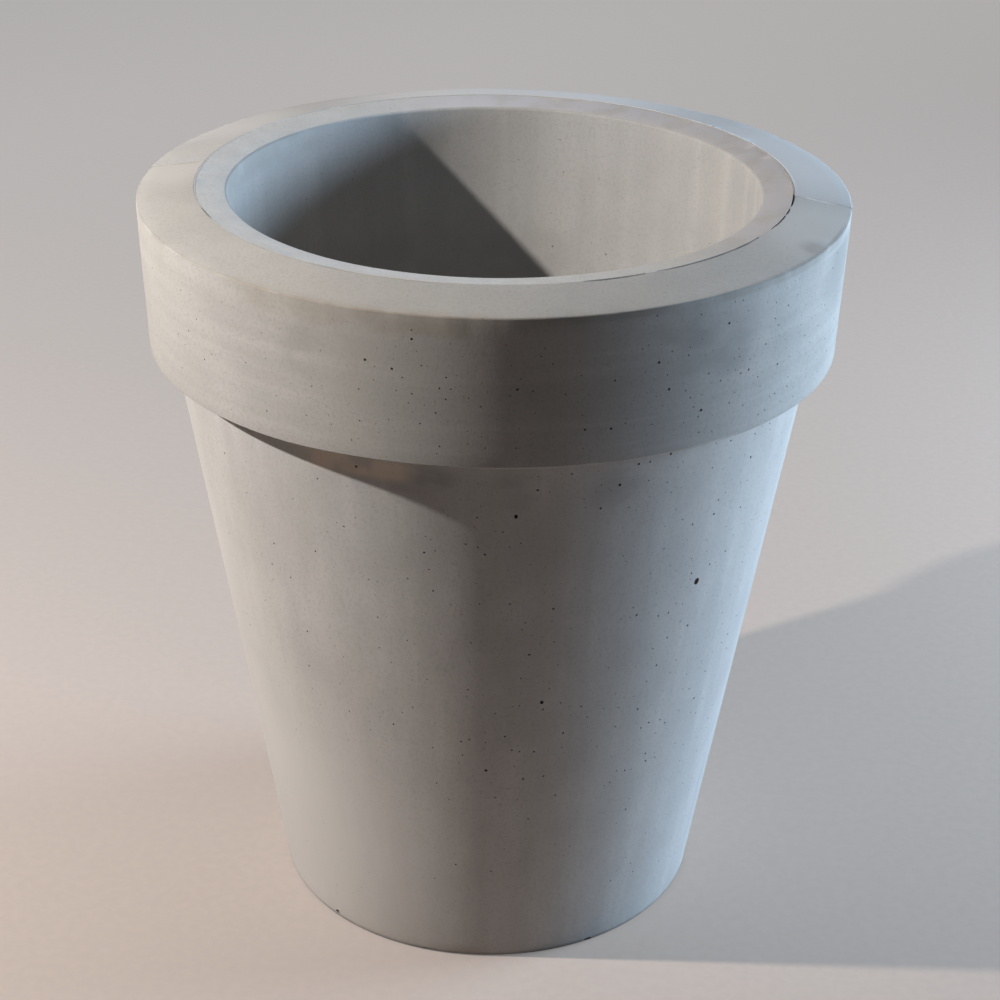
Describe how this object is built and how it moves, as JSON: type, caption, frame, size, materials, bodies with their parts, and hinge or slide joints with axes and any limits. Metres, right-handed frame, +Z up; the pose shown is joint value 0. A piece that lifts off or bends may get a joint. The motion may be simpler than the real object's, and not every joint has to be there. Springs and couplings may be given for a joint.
{
  "type": "concrete flower pot",
  "caption": "Tapered round concrete flower pot for the floor: a hollow vessel with a drain hole, and a thick split collar bedded in mortar round its mouth.",
  "frame": {"origin": "centre of the base, on the ground", "axes": "+Z up along the pot's axis, X along the plane in which the two halves of the collar meet, -Y towards the front half"},
  "size_m": [0.3998, 0.3998, 0.4434],
  "materials": {
    "vessel_concrete": "fair-faced cast concrete, matte, fine pinholes",
    "front_collar_concrete": "fair-faced cast concrete, matte, fine pinholes",
    "rear_collar_concrete": "fair-faced cast concrete, matte, fine pinholes",
    "joint_mortar": "fine mortar, matte"
  },
  "bodies": {
    "root": {"vessel": "vessel_concrete", "collar_front_half": "front_collar_concrete", "collar_rear_half": "rear_collar_concrete", "collar_bed_mortar": "joint_mortar", "right_joint_mortar": "joint_mortar", "left_joint_mortar": "joint_mortar"}
  },
  "joints": []
}
